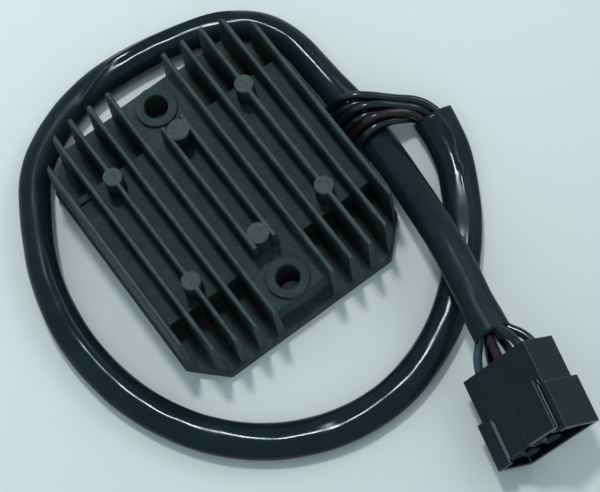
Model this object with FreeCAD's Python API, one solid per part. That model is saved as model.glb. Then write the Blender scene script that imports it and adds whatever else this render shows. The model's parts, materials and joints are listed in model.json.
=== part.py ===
import FreeCAD, Part
import math
import os

from FreeCAD import Placement, Rotation, Vector

# Voltage regulator rectifier: a die-cast finned heat sink lying on its mounting face, with the
# electronics potted in its back, and a sleeved lead that ends in a six-way connector.
# Millimetres. The origin is the middle of the mounting face, +Z is up through the fins,
# +Y runs along the fins and the lead leaves on the +X side.

# Heat sink, overall
plate_width = 76.0
plate_length = 85.0
plate_corner = 9.5
plate_thickness = 5.0
plate_corner_round = 1.5
plate_edge_round = 0.6
body_height = 25.0

# Fins
fin_pitch = 6.6
side_fin_count = 5
fin_tip_width = 1.4
fin_draft_deg = 1.3
fin_root_round = 0.8
fin_foot_setback = 0.3
fin_end_draft = 1.0
short_fin_length = 45.6

# Raised floor over the electronics, and the pads round the mounting holes
raised_floor_height = 15.2
raised_floor_length = 47.0
raised_floor_draft = 0.4
pad_length = 78.6
pad_edge_round = 1.2

# Mounting holes for M6 screws
hole_spacing = 65.0
hole_diameter = 7.0
hole_chamfer = 0.4
boss_diameter = 12.5
boss_rise = 1.1
boss_edge_round = 0.25

# Ejector studs
outer_stud_diameter = 5.7
outer_stud_spacing = 38.6
centre_stud_diameter = 6.5
centre_stud_spacing = 39.0
stud_edge_round = 0.3

# Shallow pocket in the raised floor of the first valley
floor_pocket_width = 3.6
floor_pocket_length = 6.0
floor_pocket_depth = 1.2
floor_pocket_y = 18.6

# Potted cavity in the back, and the notch that the leads pass through
cavity_width = 64.0
cavity_length = 40.0
cavity_depth = 12.0
cavity_corner = 4.0
notch_height = 9.0
notch_margin = 1.2
resin_recess = 0.4
resin_side_recess = 1.0

# Electronics
pad_sheet_thickness = 0.5
pad_sheet_margin = 3.0
device_width = 12.0
device_length = 9.5
device_height = 3.2
device_pitch = 18.0
device_row_spacing = 20.0
device_tab_length = 2.4
device_tab_thickness = 0.8
board_margin = 4.0
board_thickness = 1.6
board_gap = 2.2

# Leads
wire_diameter = 2.6
wire_pitch = 2.86
wire_count = 6
wire_row_y = -3.4
wire_exit_z = 6.8
wire_straight = 2.4
bundle_pitch = 2.95
bundle_run = 2.6
bundle_stagger = 0.6

# Cable sleeve
sleeve_diameter = 9.4

# Connector housing, in its own frame: +X across, +Z out of the latch side, mouth towards -Y
rear_width = 26.0
rear_height = 12.9
rear_length = 12.9
hood_width = 28.6
hood_height = 14.75
hood_length = 14.0
hood_wall = 1.25
hood_floor = 1.6
housing_round = 0.7
way_columns = 3
way_rows = 2
way_pitch_x = 8.9
way_pitch_z = 6.5
tower_diameter = 5.5
tower_setback = 4.0
way_bore = 2.9
latch_left = 0.5
latch_right = 11.6
latch_rise = 1.2
latch_overhang = 1.6
recess_width = 9.2
recess_start = 0.8
recess_depth = 0.7
mouth_notch = 1.4
connector_x = 31.65
connector_y = -101.2
connector_yaw = -13.05
connector_roll = -46.0

# Terminals
barrel_diameter = 2.8
barrel_length = 6.0
blade_width = 2.2
blade_thickness = 0.8
blade_point = 0.8
wire_insertion = 3.0
plug_lead_run = 3.1
plug_lead_entry = 2.1

fin_slope = math.tan(math.radians(fin_draft_deg))
outer_fin_index = side_fin_count + 0.5
pad_half_width = 1.5 * fin_pitch
resin_side_x = plate_width / 2 - resin_side_recess


def block(x0, x1, y0, y1, z0, z1):
    return Part.makeBox(x1 - x0, y1 - y0, z1 - z0, Vector(x0, y0, z0))


def polygon(points):
    return Part.makePolygon([Vector(*p) for p in points + points[:1]])


def rounded_rectangle(width, length, radius, z):
    half_w = width / 2
    half_l = length / 2
    solid = block(-half_w, half_w, -half_l, half_l, z, z + 1)
    uprights = [e for e in solid.Edges if abs(e.Vertexes[0].Z - e.Vertexes[1].Z) > 0.5]
    rounded = solid.makeFillet(radius, uprights)
    floor = min(rounded.Faces, key=lambda face: face.CenterOfMass.z)
    return floor.OuterWire


def octagon(half_width, half_length, corner_sum, z):
    """Points of a rectangle whose corners are cut along x + y = corner_sum."""
    near = corner_sum - half_width
    inner = corner_sum - half_length
    quarter = [(half_width, near), (inner, half_length)]
    points = quarter + [(-x, y) for x, y in reversed(quarter)]
    points += [(-x, -y) for x, y in quarter] + [(x, -y) for x, y in reversed(quarter)]
    return polygon([(x, y, z) for x, y in points])


def base_plate():
    corner_sum = plate_width / 2 + plate_length / 2 - plate_corner
    outline = octagon(plate_width / 2, plate_length / 2, corner_sum, 0)
    plate = Part.Face(outline).extrude(Vector(0, 0, plate_thickness))
    uprights = [e for e in plate.Edges if abs(e.Vertexes[0].Z - e.Vertexes[1].Z) > 0.5]
    plate = plate.makeFillet(plate_corner_round, uprights)
    rim = [e for e in plate.Edges if e.BoundBox.ZMin > plate_thickness - 0.01]
    return plate.makeFillet(plate_edge_round, rim)


def fin_bar(x, floors, y0, y1):
    """A fin with a rounded tip and drafted sides, and a rounded root on the floor of each side."""
    tip = fin_tip_width / 2
    radius = tip * 0.9
    shoulder = body_height - radius
    half_at_shoulder = tip + radius * fin_slope
    crown = tip - radius
    sunk = min(floors) - fin_root_round
    diagonal = 1 - math.sqrt(0.5)

    def at(side, px, pz):
        return Vector(x + side * px, y0, pz)

    edges = []
    for side, floor in zip((-1, 1), floors):
        root_top = floor + fin_root_round
        half_at_root = tip + (body_height - root_top) * fin_slope
        foot = half_at_root + fin_root_round
        crown_end = at(side, crown, body_height)
        tip_end = at(side, half_at_shoulder, shoulder)
        tip_middle = at(side, half_at_shoulder - radius * diagonal, body_height - radius * diagonal)
        root_end = at(side, half_at_root, root_top)
        root_middle = at(side, half_at_root + fin_root_round * diagonal,
                         floor + fin_root_round * diagonal)
        foot_end = at(side, foot, floor)
        edges.append(Part.LineSegment(at(side, 0, body_height), crown_end))
        edges.append(Part.Arc(crown_end, tip_middle, tip_end))
        edges.append(Part.LineSegment(tip_end, root_end))
        edges.append(Part.Arc(root_end, root_middle, foot_end))
        edges.append(Part.LineSegment(foot_end, at(side, foot, sunk)))
        edges.append(Part.LineSegment(at(side, foot, sunk), at(side, 0, sunk)))
    outline = Part.Wire(Part.__sortEdges__([edge.toShape() for edge in edges]))
    return Part.Face(outline).extrude(Vector(0, y1 - y0, 0))


def fin_envelope():
    """The drafted space that holds the fins: their ends follow the plate's cut corners."""
    half_length = plate_length / 2 - fin_foot_setback
    corner_sum = plate_width / 2 + plate_length / 2 - plate_corner - fin_foot_setback * math.sqrt(2)
    half_width = plate_width / 2
    low = octagon(half_width, half_length, corner_sum, 0)
    lean = fin_end_draft * math.sqrt(2)
    high = octagon(half_width, half_length - fin_end_draft, corner_sum - lean, body_height)
    return Part.makeLoft([low, high], True, True)


def fins():
    reach = plate_length / 2 + 1
    step = raised_floor_length / 2
    low = (plate_thickness, plate_thickness)
    raised = (raised_floor_height, raised_floor_height)
    left_wall = (plate_thickness, raised_floor_height)
    right_wall = (raised_floor_height, plate_thickness)
    bars = []
    for i in range(side_fin_count):
        x = (outer_fin_index - i) * fin_pitch
        bars.append(fin_bar(-x, left_wall if i == 0 else raised, -step, step))
        bars.append(fin_bar(x, right_wall if i == 0 else raised, -step, step))
        for side in (-1, 1):
            bars.append(fin_bar(side * x, low, -reach, -step))
            bars.append(fin_bar(side * x, low, step, reach))
    long_fins = bars[0].multiFuse(bars[1:]).common(fin_envelope())
    half = short_fin_length / 2
    short_fins = [fin_bar(side * fin_pitch / 2, raised, -half, half) for side in (-1, 1)]
    return long_fins.fuse(short_fins)


def raised_floor():
    half_width = outer_fin_index * fin_pitch
    half_length = raised_floor_length / 2
    grow = raised_floor_draft
    low = block(-half_width, half_width, -half_length - grow, half_length + grow, 0, 1)
    low = min(low.Faces, key=lambda face: face.CenterOfMass.z).OuterWire
    low.translate(Vector(0, 0, plate_thickness - 1))
    high = polygon([
        (-half_width, -half_length, raised_floor_height),
        (half_width, -half_length, raised_floor_height),
        (half_width, half_length, raised_floor_height),
        (-half_width, half_length, raised_floor_height),
    ])
    return Part.makeLoft([low, high], True, True)


def mounting_pads():
    half_length = pad_length / 2
    pad = block(-pad_half_width, pad_half_width, -half_length, half_length,
                plate_thickness - 1, raised_floor_height)
    ends = [e for e in pad.Edges if e.BoundBox.ZMin > raised_floor_height - 0.01
            and e.BoundBox.YLength < 0.01]
    return pad.makeFillet(pad_edge_round, ends)


def upright_cylinder(x, y, z0, z1, diameter, edge_round):
    cylinder = Part.makeCylinder(diameter / 2, z1 - z0, Vector(x, y, z0))
    rim = [e for e in cylinder.Edges if e.BoundBox.ZMin > z1 - 0.01]
    return cylinder.makeFillet(edge_round, rim)


def studs():
    rows = [(side * 3.5 * fin_pitch, outer_stud_spacing / 2, outer_stud_diameter) for side in (-1, 1)]
    rows.append((0, centre_stud_spacing / 2, centre_stud_diameter))
    found = []
    for x, y, diameter in rows:
        for side in (-1, 1):
            found.append(upright_cylinder(x, side * y, raised_floor_height - 1, body_height,
                                          diameter, stud_edge_round))
    return found


def bosses():
    top = raised_floor_height + boss_rise
    return [upright_cylinder(0, side * hole_spacing / 2, raised_floor_height - 1, top,
                             boss_diameter, boss_edge_round) for side in (-1, 1)]


def mounting_holes():
    top = raised_floor_height + boss_rise
    radius = hole_diameter / 2
    cutters = []
    for side in (-1, 1):
        y = side * hole_spacing / 2
        cutters.append(Part.makeCylinder(radius, top + 2, Vector(0, y, -1)))
        cutters.append(Part.makeCone(radius, radius + hole_chamfer, hole_chamfer,
                                     Vector(0, y, top - hole_chamfer)))
    return cutters


def notch_span():
    half = (wire_count - 1) * wire_pitch / 2 + wire_diameter / 2 + notch_margin
    return wire_row_y - half, wire_row_y + half


def cavity_space():
    """The hollow in the back of the casting, with the notch through its +X wall."""
    outline = rounded_rectangle(cavity_width, cavity_length, cavity_corner, 0)
    hollow = Part.Face(outline).extrude(Vector(0, 0, cavity_depth))
    y0, y1 = notch_span()
    notch = block(cavity_width / 2 - cavity_corner, plate_width / 2 + 1, y0, y1, 0, notch_height)
    return hollow.fuse(notch).removeSplitter()


def floor_pocket():
    x = -(outer_fin_index - 0.5) * fin_pitch
    return block(x - floor_pocket_width / 2, x + floor_pocket_width / 2,
                 floor_pocket_y - floor_pocket_length / 2, floor_pocket_y + floor_pocket_length / 2,
                 raised_floor_height - floor_pocket_depth, raised_floor_height + 1)


def heat_sink():
    body = base_plate().multiFuse([raised_floor(), mounting_pads(), fins()] + bosses() + studs())
    body = body.removeSplitter()
    return body.cut(mounting_holes() + [cavity_space(), floor_pocket()]).removeSplitter()


def thermal_sheet():
    width = cavity_width - 2 * pad_sheet_margin
    length = cavity_length - 2 * pad_sheet_margin
    return block(-width / 2, width / 2, -length / 2, length / 2,
                 cavity_depth - pad_sheet_thickness, cavity_depth)


def device_places():
    for row in (-1, 1):
        for column in (-1, 0, 1):
            yield column * device_pitch, row * device_row_spacing / 2, row


def power_device(x, y, row):
    """A flat moulded rectifier on its tab, with the tab's end towards the long wall."""
    top = cavity_depth - pad_sheet_thickness
    case = block(x - device_width / 2, x + device_width / 2, y - device_length / 2,
                 y + device_length / 2, top - device_height, top)
    low = [e for e in case.Edges if e.BoundBox.ZMax < top - device_height + 0.01]
    case = case.makeChamfer(0.4, low)
    edge = y + row * device_length / 2
    y0, y1 = sorted((edge, edge + row * device_tab_length))
    tab = block(x - device_width / 2 + 1, x + device_width / 2 - 1, y0, y1,
                top - device_tab_thickness, top)
    return case.fuse(tab).removeSplitter()


def circuit_board():
    top = cavity_depth - pad_sheet_thickness - device_height - board_gap
    width = cavity_width - 2 * board_margin
    length = cavity_length - 2 * board_margin
    return block(-width / 2, width / 2, -length / 2, length / 2, top - board_thickness, top)


def potting_resin(inner_pieces):
    level = block(-plate_width, resin_side_x, -plate_length, plate_length, resin_recess, body_height)
    return cavity_space().common(level).cut(inner_pieces).removeSplitter()


def smooth_path(points):
    """Straight runs joined by tangent arcs, each arc as large as its two runs allow."""
    places = [Vector(*p) for p in points]
    edges = []
    radii = []
    start = places[0]
    for before, corner, after in zip(places, places[1:], places[2:]):
        back = (before - corner).normalize()
        ahead = (after - corner).normalize()
        half_turn = (math.pi - back.getAngle(ahead)) / 2
        tangent = 0.45 * min((before - corner).Length, (after - corner).Length)
        radius = tangent / math.tan(half_turn)
        into = corner + back * tangent
        out = corner + ahead * tangent
        bisector = (back + ahead).normalize()
        middle = corner + bisector * (radius / math.cos(half_turn) - radius)
        edges.append(Part.LineSegment(start, into).toShape())
        edges.append(Part.Arc(into, middle, out).toShape())
        radii.append(radius)
        start = out
    edges.append(Part.LineSegment(start, places[-1]).toShape())
    return Part.Wire(edges), radii


def tube(name, points, diameter):
    path, radii = smooth_path(points)
    heading = Vector(*points[1]) - Vector(*points[0])
    circle = Part.Circle(Vector(*points[0]), heading, diameter / 2).toShape()
    shell = Part.BRepOffsetAPI.MakePipeShell(path)
    shell.setFrenetMode(False)
    shell.add(Part.Wire(circle))
    shell.build()
    shell.makeSolid()
    solid = Part.Solid(shell.shape())
    expected = math.pi * diameter ** 2 / 4 * path.Length
    print(name, "length", round(path.Length, 1), "tightest radius", round(min(radii), 1),
          "volume ratio", round(solid.Volume / expected, 4))
    return solid


# Route of the sleeve: from its mouth beside the heat sink, once round the casting,
# past the leads, and over itself to the connector.
sleeve_route = [
    (64.1, -15.4, 5.6),
    (63.2, -25.2, 4.8),
    (58.8, -37.2, 4.8),
    (51.0, -50.0, 4.8),
    (39.0, -62.8, 4.8),
    (23.6, -72.2, 4.8),
    (4.2, -76.4, 4.8),
    (-15.6, -73.8, 4.8),
    (-33.6, -64.4, 4.8),
    (-47.6, -49.2, 4.8),
    (-56.6, -29.6, 4.8),
    (-59.4, -8.6, 4.8),
    (-57.0, 11.2, 4.8),
    (-49.6, 27.8, 4.8),
    (-39.6, 41.9, 4.8),
    (-25.4, 50.4, 4.8),
    (-9.8, 54.6, 4.8),
    (6.2, 54.6, 4.8),
    (20.6, 51.9, 4.8),
    (33.2, 46.7, 4.8),
    (42.2, 37.7, 4.8),
    (47.0, 25.9, 4.8),
    (47.1, 10.4, 4.8),
    (46.9, -6.0, 5.0),
    (45.8, -21.0, 6.4),
    (43.8, -36.2, 11.6),
    (41.8, -50.0, 16.2),
    (39.4, -62.4, 17.0),
    (36.9, -71.2, 17.3),
    (35.6, -77.6, 17.6),
]

# Stations of the fan of leads between the casting and the sleeve's mouth: the first and the
# last lead at each station, its height, how far alternate leads ride above and below it, and
# whether they have drawn together in pairs, one above the other.
fan_stations = [
    ((43.8, 2.9), (42.3, -11.0), 10.7, 0.4, False),
    ((47.2, 1.8), (47.6, -10.5), 13.9, 1.0, False),
    ((52.2, -1.7), (51.6, -10.2), 12.2, 1.6, False),
    ((57.9, -3.9), (55.2, -11.4), 9.4, 1.6, False),
    ((63.6, -6.2), (60.1, -11.1), 7.0, 1.7, True),
]


def lead_route(index):
    """Hand-placed stations, shared out between the first and the last lead."""
    rise = 1 if index % 2 == 0 else -1
    column = index // 2
    y = wire_row_y + (wire_count - 1) * wire_pitch / 2 - index * wire_pitch
    route = [(resin_side_x, y, wire_exit_z), (resin_side_x + wire_straight, y, wire_exit_z)]
    for first, last, height, spread, paired in fan_stations:
        share = column / 2 if paired else index / (wire_count - 1)
        route.append((first[0] + (last[0] - first[0]) * share,
                      first[1] + (last[1] - first[1]) * share,
                      height + rise * spread))
    mouth = Vector(*sleeve_route[0])
    heading = (Vector(*sleeve_route[1]) - mouth).normalize()
    across = Vector(0, 0, 1).cross(heading).normalize()
    up = heading.cross(across)
    place = mouth + across * ((1 - column) * bundle_pitch) + up * (rise * bundle_pitch / 2)
    route.append(tuple(place - heading * (bundle_run + (1 - column) * bundle_stagger)))
    route.append(tuple(place))
    return route


def connector_placement():
    lean = math.radians(abs(connector_roll))
    height = ((hood_width / 2 - housing_round) * math.sin(lean)
              + (hood_height / 2 - housing_round) * math.cos(lean) + housing_round)
    turn = Rotation(Vector(0, 0, 1), connector_yaw) * Rotation(Vector(0, 1, 0), connector_roll)
    return Placement(Vector(connector_x, connector_y, height), turn)


def ways():
    for row in range(way_rows):
        for column in range(way_columns):
            yield ((column - (way_columns - 1) / 2) * way_pitch_x,
                   ((way_rows - 1) / 2 - row) * way_pitch_z)


def along_y(x, z, y0, y1, diameter):
    return Part.makeCylinder(diameter / 2, y1 - y0, Vector(x, y0, z), Vector(0, 1, 0))


def connector_housing():
    rear = block(-rear_width / 2, rear_width / 2, -0.5, rear_length, -rear_height / 2, rear_height / 2)
    hood = block(-hood_width / 2, hood_width / 2, -hood_length, 0, -hood_height / 2, hood_height / 2)
    runs = [e for e in rear.Edges if e.BoundBox.YLength > 1]
    rear = rear.makeFillet(housing_round, runs)
    runs = [e for e in hood.Edges if e.BoundBox.YLength > 1]
    hood = hood.makeFillet(housing_round, runs)
    latch = block(latch_left, latch_right, -hood_length, latch_overhang,
                  hood_height / 2 - hood_wall, hood_height / 2 + latch_rise)
    latch = latch.makeFillet(0.3, [e for e in latch.Edges if e.BoundBox.ZMin > hood_height / 2
                                   and e.BoundBox.XLength < 0.01])
    shell = rear.multiFuse([hood, latch])
    mouth = block(-hood_width / 2 + hood_wall, hood_width / 2 - hood_wall, -hood_length - 1,
                  -hood_floor, -hood_height / 2 + hood_wall, hood_height / 2 - hood_wall)
    recess = block(latch_left - recess_width, latch_left, -hood_length - 1, -recess_start,
                   hood_height / 2 - recess_depth, hood_height / 2 + 1)
    notch = block(latch_left - recess_width, latch_right, -hood_length - 1,
                  -hood_length + mouth_notch, hood_height / 2 - hood_wall - 1,
                  hood_height / 2 + latch_rise + 1)
    shell = shell.cut([mouth, recess, notch])
    towers = [along_y(x, z, -hood_length + tower_setback, -hood_floor + 0.5, tower_diameter)
              for x, z in ways()]
    shell = shell.multiFuse(towers).removeSplitter()
    half = way_bore / 2
    bores = [block(x - half, x + half, -hood_length, rear_length + 1, z - half, z + half)
             for x, z in ways()]
    return shell.cut(bores).removeSplitter()


def terminal(x, z):
    """A crimped pin: a round barrel on the lead and a flat blade in its tower."""
    back = rear_length - wire_insertion
    barrel = along_y(x, z, back - barrel_length, back, barrel_diameter)
    tip = -hood_length + tower_setback + blade_point
    blade = block(x - blade_width / 2, x + blade_width / 2, tip, back - barrel_length + 1,
                  z - blade_thickness / 2, z + blade_thickness / 2)
    ends = [e for e in blade.Edges if e.BoundBox.YMax < tip + 0.01 and e.BoundBox.YLength < 0.01
            and e.BoundBox.XLength < 0.01]
    blade = blade.makeChamfer(blade_point / 2, ends)
    return barrel.fuse(blade).removeSplitter()


def plug_lead_route(index, placement):
    """From the sleeve's end face into the way of the housing that this lead serves."""
    end = Vector(*sleeve_route[-1])
    heading = (end - Vector(*sleeve_route[-2])).normalize()
    across = placement.Rotation.multVec(Vector(1, 0, 0))
    across = (across - heading * across.dot(heading)).normalize()
    up = across.cross(heading) * -1
    row, column = divmod(index, way_columns)
    start = end + across * ((column - 1) * bundle_pitch) + up * ((0.5 - row) * bundle_pitch)
    x, z = list(ways())[index]
    entry = placement.multVec(Vector(x, rear_length + plug_lead_entry, z))
    inside = placement.multVec(Vector(x, rear_length - wire_insertion, z))
    return [tuple(start), tuple(start + heading * plug_lead_run), tuple(entry), tuple(inside)]


def export(name, shape):
    shape.exportStep("parts/" + name + ".step")


def main():
    os.makedirs("parts", exist_ok=True)
    export("heat_sink", heat_sink())

    inner = []
    sheet = thermal_sheet()
    export("thermal_sheet", sheet)
    inner.append(sheet)
    for index, (x, y, row) in enumerate(device_places()):
        device = power_device(x, y, row)
        export("power_device_%d" % (index + 1), device)
        inner.append(device)
    board = circuit_board()
    export("circuit_board", board)
    inner.append(board)
    export("potting_resin", potting_resin(inner))

    for index in range(wire_count):
        name = "lead_%d" % (index + 1)
        export(name, tube(name, lead_route(index), wire_diameter))
    export("cable_sleeve", tube("cable_sleeve", sleeve_route, sleeve_diameter))

    placement = connector_placement()
    housing = connector_housing()
    housing.Placement = placement
    export("connector_housing", housing)
    for index, (x, z) in enumerate(ways()):
        pin = terminal(x, z)
        pin.Placement = placement
        export("terminal_%d" % (index + 1), pin)
        name = "plug_lead_%d" % (index + 1)
        export(name, tube(name, plug_lead_route(index, placement), wire_diameter))


main()
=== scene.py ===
import json
import math

import bmesh
import bpy
from mathutils import Matrix, Vector, noise


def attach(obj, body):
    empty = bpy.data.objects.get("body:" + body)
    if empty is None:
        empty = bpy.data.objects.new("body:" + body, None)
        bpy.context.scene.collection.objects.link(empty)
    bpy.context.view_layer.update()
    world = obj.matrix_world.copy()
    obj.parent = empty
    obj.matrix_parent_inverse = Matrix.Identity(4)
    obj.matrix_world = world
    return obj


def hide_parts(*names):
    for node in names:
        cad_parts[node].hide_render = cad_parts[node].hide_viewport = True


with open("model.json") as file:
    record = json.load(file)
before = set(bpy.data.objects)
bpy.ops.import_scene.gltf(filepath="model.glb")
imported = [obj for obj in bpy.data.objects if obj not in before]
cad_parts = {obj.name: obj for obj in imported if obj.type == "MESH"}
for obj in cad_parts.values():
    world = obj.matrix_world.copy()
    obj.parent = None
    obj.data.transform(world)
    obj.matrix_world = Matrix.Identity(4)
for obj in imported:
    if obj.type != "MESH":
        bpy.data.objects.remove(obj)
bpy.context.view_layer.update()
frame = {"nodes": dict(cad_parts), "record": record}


# Camera

cameraSet = {
    "position": (-0.06642, -0.20420, 0.61709),
    "target": (0.008596, -0.02625, 0.01278),
    "roll": -14.034,  # degrees about the line of sight
    "lens": 133.6,  # millimetres, on the sensor below
    "sensor": 36.0,
    "clip": (0.01, 20.0),
}


def addCamera(values):
    data = bpy.data.cameras.new("camera")
    data.lens = values["lens"]
    data.sensor_width = values["sensor"]
    data.clip_start, data.clip_end = values["clip"]
    place = Vector(values["position"])
    back = (place - Vector(values["target"])).normalized()
    side = Vector((0, 0, 1)).cross(back).normalized()
    up = back.cross(side)
    turn = Matrix.Rotation(math.radians(values["roll"]), 3, back)
    basis = Matrix((turn @ side, turn @ up, back)).transposed().to_4x4()
    camera = bpy.data.objects.new("camera", data)
    camera.matrix_world = Matrix.Translation(place) @ basis
    bpy.context.scene.collection.objects.link(camera)
    bpy.context.scene.camera = camera


addCamera(cameraSet)
print("camera set")


# Node helpers

def link(tree, output, target):
    tree.links.new(output, target)


def mathNode(tree, operation, first, second=None, clamp=False):
    node = tree.nodes.new("ShaderNodeMath")
    node.operation = operation
    node.use_clamp = clamp
    for index, value in enumerate((first, second)):
        if value is None:
            continue
        if isinstance(value, (int, float)):
            node.inputs[index].default_value = value
        else:
            link(tree, value, node.inputs[index])
    return node.outputs[0]


def mapRange(tree, value, low, high, newLow, newHigh):
    node = tree.nodes.new("ShaderNodeMapRange")
    node.interpolation_type = "SMOOTHSTEP"
    link(tree, value, node.inputs["Value"])
    for label, number in (("From Min", low), ("From Max", high), ("To Min", newLow), ("To Max", newHigh)):
        if isinstance(number, (int, float)):
            node.inputs[label].default_value = number
        else:
            link(tree, number, node.inputs[label])
    return node.outputs["Result"]


def mixColour(tree, factor, first, second):
    node = tree.nodes.new("ShaderNodeMix")
    node.data_type = "RGBA"
    link(tree, factor, node.inputs["Factor"])
    for label, value in (("A", first), ("B", second)):
        socket = [s for s in node.inputs if s.name == label and s.type == "RGBA"][0]
        if isinstance(value, (tuple, list)):
            socket.default_value = (*value, 1)
        else:
            link(tree, value, socket)
    return [s for s in node.outputs if s.type == "RGBA"][0]


def noiseNode(tree, vector, scale, detail=3, roughness=0.55):
    node = tree.nodes.new("ShaderNodeTexNoise")
    link(tree, vector, node.inputs["Vector"])
    if isinstance(scale, (int, float)):
        node.inputs["Scale"].default_value = scale
    else:
        link(tree, scale, node.inputs["Scale"])
    node.inputs["Detail"].default_value = detail
    node.inputs["Roughness"].default_value = roughness
    return node.outputs["Fac"]


def newGroup(name, inputs, outputs):
    group = bpy.data.node_groups.new(name, "ShaderNodeTree")
    for label, kind, value in inputs:
        socket = group.interface.new_socket(name=label, in_out="INPUT", socket_type=kind)
        if value is not None:
            socket.default_value = value
    for label, kind in outputs:
        group.interface.new_socket(name=label, in_out="OUTPUT", socket_type=kind)
    return group, group.nodes.new("NodeGroupInput").outputs, group.nodes.new("NodeGroupOutput").inputs


# Effects that several finishes share

grainShape = {
    "blotch": (0.35, 0.68),  # noise levels between which a patch grows to full
    "blotchShare": 0.7,
    "speck": (0.3, 0.72),
    "speckShare": 0.45,
    "gloss": (0.3, 0.7),
    "coarseHeight": 0.6,
}


# Patchy colour, uneven gloss and a fine pebbled height, all from place on the piece
def buildGrain(shape):
    group, given, result = newGroup("grain", [
        ("Vector", "NodeSocketVector", None),
        ("Color", "NodeSocketColor", (0.1, 0.1, 0.1, 1)),
        ("Patch Color", "NodeSocketColor", (0.2, 0.2, 0.2, 1)),
        ("Patch Scale", "NodeSocketFloat", 90.0),
        ("Grain Scale", "NodeSocketFloat", 1800.0),
        ("Roughness Low", "NodeSocketFloat", 0.4),
        ("Roughness High", "NodeSocketFloat", 0.6),
    ], [
        ("Color", "NodeSocketColor"),
        ("Roughness", "NodeSocketFloat"),
        ("Height", "NodeSocketFloat"),
    ])
    patches = noiseNode(group, given["Vector"], given["Patch Scale"], detail=4)
    grains = noiseNode(group, given["Vector"], given["Grain Scale"], detail=2)
    blotch = mapRange(group, patches, *shape["blotch"], 0.0, 1.0)
    speck = mapRange(group, grains, *shape["speck"], 0.0, shape["speckShare"])
    amount = mathNode(group, "MULTIPLY", blotch, shape["blotchShare"])
    amount = mathNode(group, "ADD", amount, speck, clamp=True)
    link(group, mixColour(group, amount, given["Color"], given["Patch Color"]), result["Color"])
    gloss = mapRange(group, patches, *shape["gloss"], given["Roughness Low"], given["Roughness High"])
    link(group, gloss, result["Roughness"])
    coarse = mathNode(group, "MULTIPLY", patches, shape["coarseHeight"])
    link(group, mathNode(group, "ADD", grains, coarse), result["Height"])
    return group


wearAndGlintShape = {
    "bend": (0.01, 0.12),  # how far the rounded normal has to turn from the face's own
    "broken": (0.3, 0.6),  # noise levels between which the worn line grows to full
    "leastShare": 0.45,
    "upward": (0.86, 0.98),  # share of up in a ridge's normal, where a painted highlight goes
    "samples": 6,
}


# A mask that is high along outer edges, broken up by a noise, and one for ridges that point up, which
# carry a painted highlight
def buildEdgeWearAndGlint(shape):
    group, given, result = newGroup("edgeWearAndGlint", [
        ("Vector", "NodeSocketVector", None),
        ("Radius", "NodeSocketFloat", 0.0006),
        ("Break Scale", "NodeSocketFloat", 500.0),
        ("Amount", "NodeSocketFloat", 1.0),
    ], [
        ("Mask", "NodeSocketFloat"),
        ("Glint Ridge", "NodeSocketFloat"),
    ])
    rounded = group.nodes.new("ShaderNodeBevel")
    rounded.samples = shape["samples"]
    link(group, given["Radius"], rounded.inputs["Radius"])
    surface = group.nodes.new("ShaderNodeNewGeometry")
    compare = group.nodes.new("ShaderNodeVectorMath")
    compare.operation = "DOT_PRODUCT"
    link(group, rounded.outputs["Normal"], compare.inputs[0])
    link(group, surface.outputs["Normal"], compare.inputs[1])
    bend = mathNode(group, "SUBTRACT", 1.0, compare.outputs["Value"])
    edge = mapRange(group, bend, *shape["bend"], 0.0, 1.0)
    broken = noiseNode(group, given["Vector"], given["Break Scale"], detail=3)
    share = mapRange(group, broken, *shape["broken"], shape["leastShare"], 1.0)
    mask = mathNode(group, "MULTIPLY", edge, share)
    link(group, mathNode(group, "MULTIPLY", mask, given["Amount"], clamp=True), result["Mask"])
    heading = group.nodes.new("ShaderNodeSeparateXYZ")
    link(group, rounded.outputs["Normal"], heading.inputs[0])
    upward = mapRange(group, heading.outputs["Z"], *shape["upward"], 0.0, 1.0)
    link(group, mathNode(group, "MULTIPLY", edge, upward, clamp=True), result["Glint Ridge"])
    return group


smudgeReach = (0.42, 0.72)  # noise levels between which the film grows to full


# Faint finger marks and dust: a slow noise that dulls the gloss and greys the colour
def buildSmudges(reach):
    group, given, result = newGroup("smudges", [
        ("Vector", "NodeSocketVector", None),
        ("Color", "NodeSocketColor", (0.1, 0.1, 0.1, 1)),
        ("Dust Color", "NodeSocketColor", (0.3, 0.3, 0.3, 1)),
        ("Dust", "NodeSocketFloat", 0.1),
        ("Scale", "NodeSocketFloat", 60.0),
        ("Roughness", "NodeSocketFloat", 0.3),
        ("Spread", "NodeSocketFloat", 0.15),
    ], [
        ("Color", "NodeSocketColor"),
        ("Roughness", "NodeSocketFloat"),
        ("Height", "NodeSocketFloat"),
    ])
    slow = noiseNode(group, given["Vector"], given["Scale"], detail=5, roughness=0.6)
    film = mapRange(group, slow, *reach, 0.0, 1.0)
    dust = mathNode(group, "MULTIPLY", film, given["Dust"])
    link(group, mixColour(group, dust, given["Color"], given["Dust Color"]), result["Color"])
    dulled = mathNode(group, "MULTIPLY", film, given["Spread"])
    link(group, mathNode(group, "ADD", given["Roughness"], dulled), result["Roughness"])
    link(group, slow, result["Height"])
    return group


effects = {
    "grain": buildGrain(grainShape),
    "edgeWearAndGlint": buildEdgeWearAndGlint(wearAndGlintShape),
    "smudges": buildSmudges(smudgeReach),
}


# Puts one of the effects in a material's tree, with the material's own values on its sockets
def apply(tree, effect, vector, **values):
    node = tree.nodes.new("ShaderNodeGroup")
    node.node_tree = effects[effect]
    link(tree, vector, node.inputs["Vector"])
    for label, value in values.items():
        socket = node.inputs[label.replace("_", " ")]
        if isinstance(value, bpy.types.NodeSocket):
            link(tree, value, socket)
        elif isinstance(value, (tuple, list)):
            socket.default_value = (*value, 1)
        else:
            socket.default_value = value
    return node.outputs


def newMaterial(name):
    material = bpy.data.materials.new(name)
    material.use_nodes = True
    tree = material.node_tree
    shader = tree.nodes["Principled BSDF"]
    spot = tree.nodes.new("ShaderNodeTexCoord").outputs["Object"]
    return material, tree, shader, spot


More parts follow.
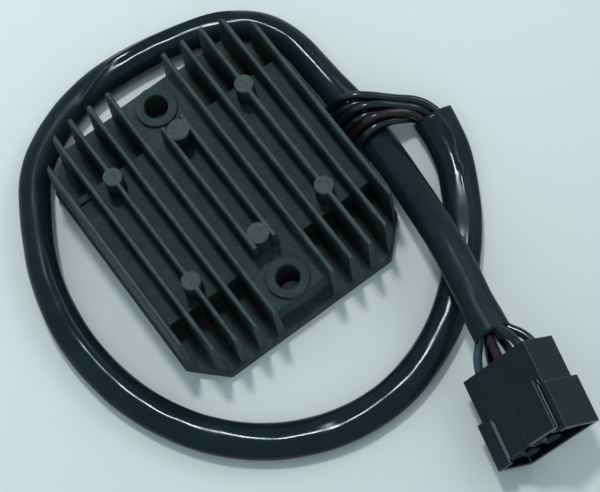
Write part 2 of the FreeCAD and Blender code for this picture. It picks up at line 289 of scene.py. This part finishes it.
# Fine height, on edges that are rounded first where the piece has crisp ones
def bump(tree, shader, height, strength, distance, edgeRound=0):
    node = tree.nodes.new("ShaderNodeBump")
    if edgeRound:
        softened = tree.nodes.new("ShaderNodeBevel")
        softened.samples = wearAndGlintShape["samples"]
        softened.inputs["Radius"].default_value = edgeRound
        link(tree, softened.outputs["Normal"], node.inputs["Normal"])
    node.inputs["Strength"].default_value = strength
    node.inputs["Distance"].default_value = distance
    link(tree, height, node.inputs["Height"])
    link(tree, node.outputs["Normal"], shader.inputs["Normal"])


# Finishes

sheenTint = (0.84, 0.98, 1.0)  # the reflections are slightly cool on every finish but tin


def setSheen(shader, amount):
    shader.inputs["Specular IOR Level"].default_value = amount
    shader.inputs["Specular Tint"].default_value = (*sheenTint, 1)


castFinish = {
    "colour": (0.011, 0.023, 0.025),
    "patch": (0.042, 0.060, 0.058),
    "worn": (0.075, 0.095, 0.088),
    "top": (0.064, 0.076, 0.068),
    "topReach": (0.0225, 0.0238),  # height above the table from which an upward face is lighter
    "topAmount": 0.75,
    "topFacing": (0.8, 0.97),  # share of up in its normal
    "topNoiseScale": 900.0,
    "topBreak": (0.35, 0.6),
    "topBreakLeast": 0.35,
    "patchScale": 150.0,
    "grainScale": 1500.0,
    "breakScale": 420.0,
    "wear": 0.7,
    "roughness": (0.55, 0.68),
    "specular": 0.2,
    "edgeRadius": 0.0005,
    "bump": (0.4, 0.00014),  # strength, distance
}


def castMaterial(values):
    material, tree, shader, spot = newMaterial("castFinish")
    skin = apply(tree, "grain", spot, Color=values["colour"], Patch_Color=values["patch"],
                 Patch_Scale=values["patchScale"], Grain_Scale=values["grainScale"],
                 Roughness_Low=values["roughness"][0], Roughness_High=values["roughness"][1])
    wear = apply(tree, "edgeWearAndGlint", spot, Radius=values["edgeRadius"], Break_Scale=values["breakScale"],
                 Amount=values["wear"])
    parts = tree.nodes.new("ShaderNodeSeparateXYZ")
    link(tree, spot, parts.inputs[0])
    facing = tree.nodes.new("ShaderNodeSeparateXYZ")
    link(tree, tree.nodes.new("ShaderNodeNewGeometry").outputs["Normal"], facing.inputs[0])
    # Faces that point up at the height of the fin and stud tops are lighter, broken up by a noise
    high = mapRange(tree, parts.outputs["Z"], *values["topReach"], 0.0, values["topAmount"])
    upward = mapRange(tree, facing.outputs["Z"], *values["topFacing"], 0.0, 1.0)
    topNoise = noiseNode(tree, spot, values["topNoiseScale"], detail=2)
    topBreakup = mapRange(tree, topNoise, *values["topBreak"], values["topBreakLeast"], 1.0)
    lighterTop = mathNode(tree, "MULTIPLY", mathNode(tree, "MULTIPLY", high, upward), topBreakup)
    base = mixColour(tree, lighterTop, skin["Color"], values["top"])
    link(tree, mixColour(tree, wear["Mask"], base, values["worn"]), shader.inputs["Base Color"])
    link(tree, skin["Roughness"], shader.inputs["Roughness"])
    setSheen(shader, values["specular"])
    bump(tree, shader, skin["Height"], *values["bump"], values["edgeRadius"])
    return material


plasticFinishes = {
    # The connector's lighter edges are partly wear and partly a painted highlight along them
    "connector": {"colour": (0.001, 0.004, 0.006), "dust": (0.04, 0.055, 0.058), "amount": 0.04,
                  "roughness": 0.20, "spread": 0.08, "edge": (0.07, 0.085, 0.09), "wear": 0.5,
                  "bump": 0.10, "scale": 140.0, "radius": 0.0006, "specular": 0.29, "ridge": 0.9},
    "potting_resin": {"colour": (0.012, 0.013, 0.014), "dust": (0.06, 0.07, 0.07), "amount": 0.25,
                      "roughness": 0.22, "spread": 0.25, "edge": (0.03, 0.03, 0.03), "wear": 0.0,
                      "bump": 0.5, "scale": 160.0, "radius": 0.0003, "specular": 0.5, "ridge": 0.0},
    "power_device": {"colour": (0.015, 0.015, 0.016), "dust": (0.06, 0.06, 0.06), "amount": 0.2,
                     "roughness": 0.5, "spread": 0.15, "edge": (0.05, 0.05, 0.05), "wear": 0.2,
                     "bump": 0.2, "scale": 400.0, "radius": 0.0003, "specular": 0.5, "ridge": 0.0},
    "circuit_board": {"colour": (0.012, 0.06, 0.025), "dust": (0.05, 0.12, 0.07), "amount": 0.3,
                      "roughness": 0.35, "spread": 0.15, "edge": (0.2, 0.22, 0.12), "wear": 0.4,
                      "bump": 0.2, "scale": 500.0, "radius": 0.0003, "specular": 0.5, "ridge": 0.0},
    "thermal_sheet": {"colour": (0.26, 0.27, 0.29), "dust": (0.4, 0.4, 0.4), "amount": 0.3,
                      "roughness": 0.7, "spread": 0.1, "edge": (0.3, 0.3, 0.3), "wear": 0.0,
                      "bump": 0.2, "scale": 600.0, "radius": 0.0003, "specular": 0.5, "ridge": 0.0},
}
# The ridge colour here is a painted highlight on ridges that point up
plasticShared = {"paintedGlintColour": (0.30, 0.35, 0.37), "breakScale": 700.0, "bumpDistance": 0.0001}


def plasticMaterial(name, values, shared):
    material, tree, shader, spot = newMaterial(name + "Finish")
    film = apply(tree, "smudges", spot, Color=values["colour"], Dust_Color=values["dust"],
                 Dust=values["amount"], Scale=values["scale"], Roughness=values["roughness"],
                 Spread=values["spread"])
    wear = apply(tree, "edgeWearAndGlint", spot, Radius=values["radius"], Break_Scale=shared["breakScale"],
                 Amount=values["wear"])
    base = mixColour(tree, wear["Mask"], film["Color"], values["edge"])
    # Ridges that point up get a painted highlight mixed into the base colour
    if values["ridge"]:
        paintedGlint = mathNode(tree, "MULTIPLY", wear["Glint Ridge"], values["ridge"])
        base = mixColour(tree, paintedGlint, base, shared["paintedGlintColour"])
    link(tree, base, shader.inputs["Base Color"])
    link(tree, film["Roughness"], shader.inputs["Roughness"])
    setSheen(shader, values["specular"])
    bump(tree, shader, film["Height"], values["bump"], shared["bumpDistance"], values["radius"])
    return material


vinylFinishes = {
    "lead_black": {"colour": (0.002, 0.005, 0.007), "dust": (0.018, 0.028, 0.032), "amount": 0.15,
                   "roughness": 0.15, "spread": 0.08, "specular": 0.45, "scale": 260.0,
                   "bump": 0.10, "dull": 0.0},
    "lead_brown": {"colour": (0.011, 0.005, 0.005), "dust": (0.03, 0.022, 0.022), "amount": 0.15,
                   "roughness": 0.16, "spread": 0.08, "specular": 0.4, "scale": 260.0,
                   "bump": 0.10, "dull": 0.0},
    # A painted reflection: a black lead coloured grey-blue where its sheen falls
    "lead_grey": {"colour": (0.036, 0.060, 0.080), "dust": (0.06, 0.09, 0.11), "amount": 0.15,
                  "roughness": 0.2, "spread": 0.08, "specular": 0.45, "scale": 260.0,
                  "bump": 0.10, "dull": 0.0},
    "sleeve": {"colour": (0.006, 0.013, 0.016), "dust": (0.016, 0.029, 0.035), "amount": 0.25,
               "roughness": 0.11, "spread": 0.10, "specular": 0.14, "scale": 70.0,
               "bump": 0.15, "dull": 0.25},
}
vinylBumpDistance = 0.0004

# Where the sleeve has lost its gloss: the loss grows along an axis from the first value to the second
dullStretches = [
    [("X", 0.002, -0.008), ("Y", 0.016, 0.032)],
    [("Z", 0.0100, 0.0120)],
    [("X", 0.046, 0.052), ("Y", -0.034, -0.046)],
]


def dullMask(tree, spot, stretches):
    parts = tree.nodes.new("ShaderNodeSeparateXYZ")
    link(tree, spot, parts.inputs[0])
    total = None
    for stretch in stretches:
        share = None
        for axis, start, full in stretch:
            step = mapRange(tree, parts.outputs[axis], start, full, 0.0, 1.0)
            share = mathNode(tree, "MULTIPLY", share, step) if share else step
        total = mathNode(tree, "ADD", total, share, clamp=True) if total else share
    return total


def vinylMaterial(name, values):
    material, tree, shader, spot = newMaterial(name + "Finish")
    film = apply(tree, "smudges", spot, Color=values["colour"], Dust_Color=values["dust"],
                 Dust=values["amount"], Scale=values["scale"], Roughness=values["roughness"],
                 Spread=values["spread"])
    link(tree, film["Color"], shader.inputs["Base Color"])
    gloss = film["Roughness"]
    if values["dull"]:
        loss = mathNode(tree, "MULTIPLY", dullMask(tree, spot, dullStretches), values["dull"])
        gloss = mathNode(tree, "ADD", gloss, loss)
    link(tree, gloss, shader.inputs["Roughness"])
    setSheen(shader, values["specular"])
    bump(tree, shader, film["Height"], values["bump"], vinylBumpDistance)
    return material


tinFinish = {
    "colour": (0.62, 0.60, 0.55),
    "patch": (0.42, 0.40, 0.36),
    "patchScale": 700.0,
    "grainScale": 6000.0,
    "roughness": (0.25, 0.45),
    "bump": (0.2, 0.00005),  # strength, distance
}


def tinMaterial(values):
    material, tree, shader, spot = newMaterial("tinFinish")
    skin = apply(tree, "grain", spot, Color=values["colour"], Patch_Color=values["patch"],
                 Patch_Scale=values["patchScale"], Grain_Scale=values["grainScale"],
                 Roughness_Low=values["roughness"][0], Roughness_High=values["roughness"][1])
    link(tree, skin["Color"], shader.inputs["Base Color"])
    link(tree, skin["Roughness"], shader.inputs["Roughness"])
    shader.inputs["Metallic"].default_value = 1.0
    bump(tree, shader, skin["Height"], *values["bump"])
    return material


finishes = {"cast_body": castMaterial(castFinish), "terminal": tinMaterial(tinFinish)}
for name, values in plasticFinishes.items():
    finishes[name] = plasticMaterial(name, values, plasticShared)
for name, values in vinylFinishes.items():
    finishes[name] = vinylMaterial(name, values)
print("finishes ready", len(finishes))


def slotOf(node):
    return [part["material_slot"] for part in frame["record"]["subparts"] if part["node"] == node][0]


def dress(piece, slotName):
    piece.data.materials.clear()
    piece.data.materials.append(finishes[slotName])


for node, piece in frame["nodes"].items():
    slotName = slotOf(node)
    for index in range(len(piece.material_slots)):
        piece.material_slots[index].material = finishes[slotName]
print("castings and mouldings finished")


# Cords: their routes lie along their solids. Points are in millimetres, diameters in metres

sleeveCord = {
    "diameter": 0.0094,
    "wall": 0.0008,
    "openDepth": 0.013,  # how far in the two open ends are hollow
    "sides": 56,
    "steps": 16,  # rings between two points of the route
    "route": [
        (63.8, -15.3, 5.6), (62.7, -25.2, 4.8), (57.8, -36.7, 4.8), (50.0, -49.2, 4.8),
        (38.1, -61.7, 4.8), (23.1, -71.2, 4.8), (4.2, -76.4, 4.8), (-15.6, -73.8, 4.8),
        (-33.6, -64.4, 4.8), (-47.6, -49.2, 4.8), (-56.5, -29.5, 4.8), (-59.1, -8.2, 5.3),
        (-55.8, 11.4, 6.3), (-48.2, 27.5, 6.7), (-39.6, 41.9, 6.0), (-25.4, 50.4, 4.9),
        (-9.8, 53.9, 4.8), (5.6, 53.0, 4.8), (19.4, 50.2, 4.8), (32.2, 46.0, 4.8),
        (41.4, 38.3, 4.8), (45.3, 28.2, 4.8), (45.7, 16.4, 4.8), (46.6, 5.0, 4.8), (46.9, -6.0, 5.0),
        (45.8, -21.0, 6.4), (43.8, -36.2, 11.6), (41.8, -50.0, 16.2), (39.4, -62.4, 17.0),
        (37.0, -71.8, 17.3), (35.3, -81.2, 17.6),
    ],
    "section": [  # millimetres along, width, height
        (0, 12.6, 8.0), (8, 12.0, 7.8), (20, 11.2, 7.6), (42, 10.8, 7.8), (72, 10.4, 8.2),
        (110, 10.9, 7.9), (150, 10.8, 8.0), (190, 10.2, 8.3), (230, 9.4, 9.2), (265, 9.4, 9.2),
        (288, 9.8, 8.8), (310, 9.2, 9.0), (345, 9.2, 9.0), (362, 9.8, 8.4), (372, 10.6, 7.6),
        (390, 10.6, 7.6), (402, 10.4, 8.4), (415, 10.2, 8.8), (446, 10.2, 8.8), (455, 11.0, 9.4),
        (463, 12.2, 10.4),
    ],
    "pinch": [(0, 0.55), (14, 0.5), (40, 0.25), (60, 0.0)],  # millimetres along, height lost at one side
    "creases": [  # points in millimetres along and sideways of the top; rise and width in millimetres
        {"line": [(272, -2.6), (278, -1.2), (284, 0.6), (289, 2.0), (296, 2.4), (306, 2.6), (316, 2.9),
                  (326, 3.2)], "rise": 0.50, "width": 0.6},
        {"line": [(0, 0.8), (4.7, 2.3), (9, 2.5), (12.8, 2.0)], "rise": 0.40, "width": 0.7},
        {"line": [(11, 3.2), (12.8, 2.2), (14.6, 3.4), (16.4, 2.4)], "rise": -0.40, "width": 0.6},
        {"line": [(17, 2.4), (21, 1.5), (26, 1.7), (34, 2.0), (46, 2.2)], "rise": 0.50, "width": 0.8},
        {"line": [(18, 4.0), (24, 3.5), (31, 3.9), (46, 3.4)], "rise": -0.34, "width": 0.8},
        {"line": [(98, -2.6), (112, -0.8), (126, -1.4), (140, -3.0)], "rise": -0.14, "width": 1.3},
        {"line": [(168, 1.8), (182, 0.6), (196, 1.6)], "rise": -0.12, "width": 1.4},
        {"line": [(380, -2.2), (400, -3.0), (430, -2.9)], "rise": 0.16, "width": 0.9},
        {"line": [(404, 1.8), (416, 2.6), (436, 2.2)], "rise": -0.22, "width": 1.2},
        {"line": [(447, 1.0), (454, 2.0), (463, 2.4)], "rise": -0.35, "width": 1.1},
    ],
    "creaseEnd": 4.0,  # a crease fades over these millimetres before and beyond each end of its line
    "ripple": 0.00016,
    "waves": [(1.0, 0.045, 1.4, 0), (0.5, 0.16, 2.6, 7)],  # share, per millimetre along, round, start
    "settled": (0.0070, 0.0055),  # the height from which the tube sinks until it rests on the table
}
leadCords = {
    "diameter": 0.0026,
    "routes": [  # from the notch in the casting to just inside the sleeve
        [(37.0, 3.7, 6.8), (38.9, 3.7, 6.8), (42.5, 3.5, 10.2), (47.3, 2.0, 12.4),
         (52.2, -1.7, 12.0), (57.0, -5.9, 10.4), (62.9, -10.2, 9.0),
         (65.5, -15.0, 6.8), (65.2, -18.2, 6.5), (64.7, -22.0, 6.2)],
        [(37.0, 0.9, 6.8), (38.9, 0.9, 6.8), (42.5, 0.8, 9.3), (47.3, -0.3, 10.6),
         (52.3, -3.2, 9.5), (56.9, -7.1, 7.6), (62.9, -10.2, 5.5),
         (65.5, -14.8, 4.3), (65.2, -17.9, 4.0), (64.8, -21.8, 3.7)],
        [(37.0, -2.0, 6.8), (38.9, -2.0, 6.8), (42.5, -1.8, 10.0), (47.4, -2.6, 12.4),
         (52.3, -5.1, 12.0), (56.8, -8.6, 10.4), (60.9, -11.9, 9.3),
         (63.0, -14.7, 6.8), (62.7, -17.9, 6.5), (62.2, -21.7, 6.2)],
        [(37.0, -4.8, 6.8), (38.9, -4.8, 6.8), (42.6, -4.5, 9.2), (47.4, -4.9, 10.6),
         (52.2, -6.9, 9.5), (56.6, -9.8, 7.6), (60.9, -11.9, 5.6),
         (63.0, -14.5, 4.3), (62.7, -17.7, 4.0), (62.3, -21.5, 3.7)],
        [(37.0, -7.7, 6.8), (38.9, -7.7, 6.8), (42.5, -7.1, 10.0), (47.5, -7.2, 12.4),
         (52.2, -8.8, 12.1), (56.7, -10.9, 10.5), (58.6, -12.6, 9.5),
         (60.5, -14.4, 6.8), (60.2, -17.6, 6.5), (59.7, -21.5, 6.2)],
        [(37.0, -10.5, 6.8), (38.9, -10.5, 6.8), (42.4, -9.8, 9.2), (47.5, -9.5, 10.6),
         (52.2, -10.6, 9.7), (56.5, -12.3, 7.9), (58.6, -12.6, 5.7),
         (60.5, -14.2, 4.3), (60.2, -17.4, 4.0), (59.7, -21.2, 3.7)],
    ],
}
plugLeads = {
    "diameter": 0.0026,
    "finishes": {0: "lead_grey"},  # the first lead's grey-blue is a painted reflection on a black lead; the others have their slot's finish
    "routes": [  # from inside the sleeve's end into the housing
        [(34.3, -73.2, 16.5), (32.9, -79.1, 16.6), (26.9, -84.2, 11.3), (25.7, -89.7, 10.9)],
        [(35.8, -73.4, 18.0), (34.7, -79.3, 18.4), (33.0, -85.6, 17.4), (31.7, -91.1, 17.3)],
        [(37.2, -73.7, 19.5), (36.4, -79.7, 20.2), (38.8, -86.9, 23.6), (37.7, -92.4, 23.7)],
        [(35.8, -73.5, 15.1), (34.7, -79.5, 14.9), (31.4, -85.2, 7.0), (30.0, -90.7, 6.6)],
        [(37.2, -73.8, 16.6), (36.4, -79.9, 16.7), (37.3, -86.6, 13.2), (36.1, -92.1, 13.0)],
        [(38.7, -74.0, 18.1), (38.2, -80.1, 18.5), (43.1, -88.0, 19.4), (42.1, -93.5, 19.4)],
    ],
}


def metres(points):
    return [tuple(value / 1000 for value in point) for point in points]


cordSteps = 12  # points of a cord's line between two points of its route
cordRoundness = 6


def routeCurve(name, points, radius, steps=cordSteps):
    data = bpy.data.curves.new(name, "CURVE")
    data.dimensions = "3D"
    data.resolution_u = steps
    data.bevel_depth = radius
    data.bevel_resolution = cordRoundness
    data.use_fill_caps = True
    spline = data.splines.new("NURBS")
    spline.points.add(len(points) - 1)
    for point, where in zip(spline.points, points):
        point.co = (*where, 1)
    spline.order_u = 3
    spline.use_endpoint_u = True
    spline.use_smooth = True
    curve = bpy.data.objects.new(name, data)
    bpy.context.scene.collection.objects.link(curve)
    return curve


def meshOf(curve):
    return bpy.data.meshes.new_from_object(curve)


# The points of the route's own smooth line
def lineOf(name, points, steps=cordSteps):
    bare = routeCurve(name + "Line", points, 0, steps)
    line = meshOf(bare)
    found = [vertex.co.copy() for vertex in line.vertices]
    bpy.data.objects.remove(bare)
    bpy.data.meshes.remove(line)
    return found


def lengthOf(line):
    return sum((b - a).length for a, b in zip(line, line[1:]))


# A value between stations (place, value, ...), eased from one to the next
def between(stations, place, column=1):
    if place <= stations[0][0]:
        return stations[0][column]
    for before, after in zip(stations, stations[1:]):
        if place <= after[0]:
            share = (place - before[0]) / (after[0] - before[0])
            share = share * share * (3 - 2 * share)
            return before[column] + (after[column] - before[column]) * share
    return stations[-1][column]


def clamped(value):
    return min(1, max(0, value))


# How far a point is from the nearest stretch of a crease's line, in millimetres
def gapTo(line, along, sideways):
    gaps = []
    for (a0, s0), (a1, s1) in zip(line, line[1:]):
        run = (a1 - a0) ** 2 + (s1 - s0) ** 2
        share = clamped(((along - a0) * (a1 - a0) + (sideways - s0) * (s1 - s0)) / run)
        gaps.append(math.hypot(along - a0 - share * (a1 - a0), sideways - s0 - share * (s1 - s0)))
    return min(gaps)


# How far the creases of the skin move a point, millimetres along the sleeve and sideways of its top
def foldAt(creases, end, along, sideways):
    total = 0
    for crease in creases:
        line = crease["line"]
        first, last = line[0][0] - end, line[-1][0] + end
        if along < first or along > last:
            continue
        fade = clamped((along - first) / (2 * end)) * clamped((last - along) / (2 * end))
        nearest = gapTo(line, along, sideways)
        total += crease["rise"] * fade * math.exp(-(nearest / crease["width"]) ** 2)
    return total / 1000


# A slow waver of the skin, from place along and round the sleeve
def waverAt(waves, along, lateral, rise):
    return sum(share * noise.noise(Vector((along * slow, lateral * turn + start, rise * turn)))
               for share, slow, turn, start in waves)


# One ring of the sleeve's skin: an oval that narrows towards the pinched side
def sleeveRing(values, centre, ahead, along, inset):
    side = Vector((0, 0, 1)).cross(ahead).normalized()
    up = ahead.cross(side)
    halfWidth = between(values["section"], along) / 2000
    halfHeight = between(values["section"], along, 2) / 2000
    pinch = between(values["pinch"], along)
    ring = []
    for index in range(values["sides"]):
        angle = 2 * math.pi * index / values["sides"]
        lateral, rise = math.sin(angle), math.cos(angle)
        sideways = lateral * halfWidth * 1000
        fold = foldAt(values["creases"], values["creaseEnd"], along, sideways) if rise > 0 else 0
        grow = waverAt(values["waves"], along, lateral, rise) * values["ripple"] + fold - inset
        thin = 1 - pinch * max(0, lateral) ** 2
        ring.append(centre + side * lateral * (halfWidth + grow) + up * rise * (halfHeight + grow) * thin)
    return ring


# The sleeve's skin, turned in at both open ends, and the line of its ring centres
def sleeveMesh(values):
    line = lineOf("sleeve", metres(values["route"]), values["steps"])
    marks = [0]
    for before, after in zip(line, line[1:]):
        marks.append(marks[-1] + (after - before).length)
    total = marks[-1]
    free, resting = values["settled"]
    centres = []
    for point, mark in zip(line, marks):
        sink = values["diameter"] / 2 - between(values["section"], mark * 1000, 2) / 2000
        onTable = clamped((free - point.z) / (free - resting))
        centres.append(point - Vector((0, 0, sink * onTable)))
    headings = [(centres[min(i + 1, len(line) - 1)] - centres[max(i - 1, 0)]).normalized()
                for i in range(len(line))]
    near = [i for i, mark in enumerate(marks) if mark < values["openDepth"]]
    far = [i for i, mark in enumerate(marks) if total - mark < values["openDepth"]]
    order = [(i, values["wall"]) for i in reversed(near)] + [(i, 0) for i in range(len(line))]
    order += [(i, values["wall"]) for i in reversed(far)]
    form = bmesh.new()
    rings = []
    for index, inset in order:
        ring = sleeveRing(values, centres[index], headings[index], marks[index] * 1000, inset)
        rings.append([form.verts.new(point) for point in ring])
    for before, after in zip(rings, rings[1:]):
        for index in range(values["sides"]):
            follow = (index + 1) % values["sides"]
            form.faces.new((before[index], before[follow], after[follow], after[index])).smooth = True
    form.faces.new(rings[0])
    form.faces.new(list(reversed(rings[-1])))
    bmesh.ops.recalc_face_normals(form, faces=form.faces)
    mesh = bpy.data.meshes.new("sleeveTube")
    form.to_mesh(mesh)
    form.free()
    return mesh, centres


def addMesh(name, mesh):
    piece = bpy.data.objects.new(name, mesh)
    bpy.context.scene.collection.objects.link(piece)
    return piece


for index, route in enumerate(leadCords["routes"]):
    node = "lead_%d" % (index + 1)
    points = metres(route)
    piece = routeCurve("leadWire%d" % (index + 1), points, leadCords["diameter"] / 2)
    dress(piece, slotOf(node))
    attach(piece, "root")
    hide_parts(node)
    lengthOf(lineOf(node, points))
print("leads laid")

onSleeve = [frame["nodes"]["connector_housing"]]
for index, route in enumerate(plugLeads["routes"]):
    node = "plug_lead_%d" % (index + 1)
    curve = routeCurve(node + "Curve", metres(route), plugLeads["diameter"] / 2)
    piece = addMesh("plugWire%d" % (index + 1), meshOf(curve))
    bpy.data.objects.remove(curve)
    dress(piece, plugLeads["finishes"].get(index, slotOf(node)))
    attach(piece, "root")
    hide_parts(node)
    onSleeve += [piece, frame["nodes"]["terminal_%d" % (index + 1)]]
print("plug leads laid")

mesh, sleeveLine = sleeveMesh(sleeveCord)
sleeve = addMesh("sleeveTube", mesh)
dress(sleeve, "sleeve")
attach(sleeve, "root")
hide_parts("cable_sleeve")
print("sleeve laid", round(lengthOf(sleeveLine), 4))


# Collars of the connector's six towers, in its own frame and in millimetres: across, back, up
towerCollar = {
    "origin": (31.65, -101.2, 15.12),
    "across": (0.6767, -0.1569, 0.7193),
    "back": (0.2258, 0.9742, 0.0),
    "up": (-0.7008, 0.1624, 0.6947),
    "columns": (-8.9, 0.0, 8.9),
    "rows": (3.25, -3.25),
    "profile": [(1.5, -9.8), (1.5, -12.3), (1.7, -12.5), (2.45, -12.5), (2.75, -12.2), (2.75, -9.8)],
    "steps": 40,
    "weld": 0.001,
}


def collarMesh(values):
    form = bmesh.new()
    for x in values["columns"]:
        for z in values["rows"]:
            ring = [form.verts.new((x + reach, place, z)) for reach, place in values["profile"]]
            edges = [form.edges.new(pair) for pair in zip(ring, ring[1:] + ring[:1])]
            bmesh.ops.spin(form, geom=ring + edges, cent=(x, 0, z), axis=(0, 1, 0), use_merge=True,
                           angle=2 * math.pi, steps=values["steps"])
    bmesh.ops.remove_doubles(form, verts=form.verts, dist=values["weld"])
    bmesh.ops.recalc_face_normals(form, faces=form.faces)
    axes = Matrix([values["across"], values["back"], values["up"]]).transposed().to_4x4()
    turned = Matrix.Scale(0.001, 4) @ Matrix.Translation(values["origin"]) @ axes
    bmesh.ops.transform(form, matrix=turned, verts=form.verts)
    for face in form.faces:
        face.smooth = True
    mesh = bpy.data.meshes.new("towerCollars")
    form.to_mesh(mesh)
    form.free()
    return mesh


collars = addMesh("towerCollars", collarMesh(towerCollar))
dress(collars, "connector")
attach(collars, "root")
print("tower collars added", len(collars.data.polygons))


# Table, lamps and world

stageSet = {
    "floorColour": (0.72, 0.76, 0.76),
    "floorSize": 6.0,
    "floorRoughness": 0.75,
    "floorSpecular": 0.2,
    "shadeAlong": (-0.13, 0.99, 0.0),  # painted light: the table's colour brightens along this line
    "shadeReach": (-0.19, 0.11),  # between these two places on it
    "shadeNear": 0.80,  # and keeps this share of its colour, a painted shade, up to the first
    "worldColour": (0.82, 1.0, 1.03),
    "worldStrength": 0.60,
}
lamps = {
    "ceiling": {"place": (0.16, 0.42, 1.38), "size": (0.14, 0.14), "power": 7.6},
    "side": {"place": (1.20, 0.10, 1.10), "size": (0.80, 0.60), "power": 4.5},
}


def addFloor(values):
    mesh = bpy.data.meshes.new("floor")
    form = bmesh.new()
    bmesh.ops.create_grid(form, x_segments=1, y_segments=1, size=values["floorSize"] / 2)
    form.to_mesh(mesh)
    form.free()
    floor = bpy.data.objects.new("floor", mesh)
    bpy.context.scene.collection.objects.link(floor)
    material, tree, shader, spot = newMaterial("tableTop")
    # The table's colour carries a painted falloff of light, darker towards one side
    along = tree.nodes.new("ShaderNodeVectorMath")
    along.operation = "DOT_PRODUCT"
    link(tree, spot, along.inputs[0])
    along.inputs[1].default_value = values["shadeAlong"]
    reach = mapRange(tree, along.outputs["Value"], *values["shadeReach"], 0.0, 1.0)
    near = tuple(value * values["shadeNear"] for value in values["floorColour"])
    link(tree, mixColour(tree, reach, near, values["floorColour"]), shader.inputs["Base Color"])
    shader.inputs["Roughness"].default_value = values["floorRoughness"]
    shader.inputs["Specular IOR Level"].default_value = values["floorSpecular"]
    mesh.materials.append(material)


def addLamp(name, values):
    data = bpy.data.lights.new(name, "AREA")
    data.shape = "RECTANGLE"
    data.size, data.size_y = values["size"]
    data.energy = values["power"]
    lamp = bpy.data.objects.new(name, data)
    place = Vector(values["place"])
    lamp.matrix_world = Matrix.Translation(place) @ place.to_track_quat("Z", "Y").to_matrix().to_4x4()
    bpy.context.scene.collection.objects.link(lamp)


def addWorld(values):
    world = bpy.data.worlds.new("room")
    world.use_nodes = True
    backdrop = world.node_tree.nodes["Background"]
    backdrop.inputs["Color"].default_value = (*values["worldColour"], 1)
    backdrop.inputs["Strength"].default_value = values["worldStrength"]
    bpy.context.scene.world = world


addFloor(stageSet)
for name, values in lamps.items():
    addLamp(name, values)
addWorld(stageSet)
bpy.context.scene.view_settings.view_transform = "Standard"
print("table and lamps set")
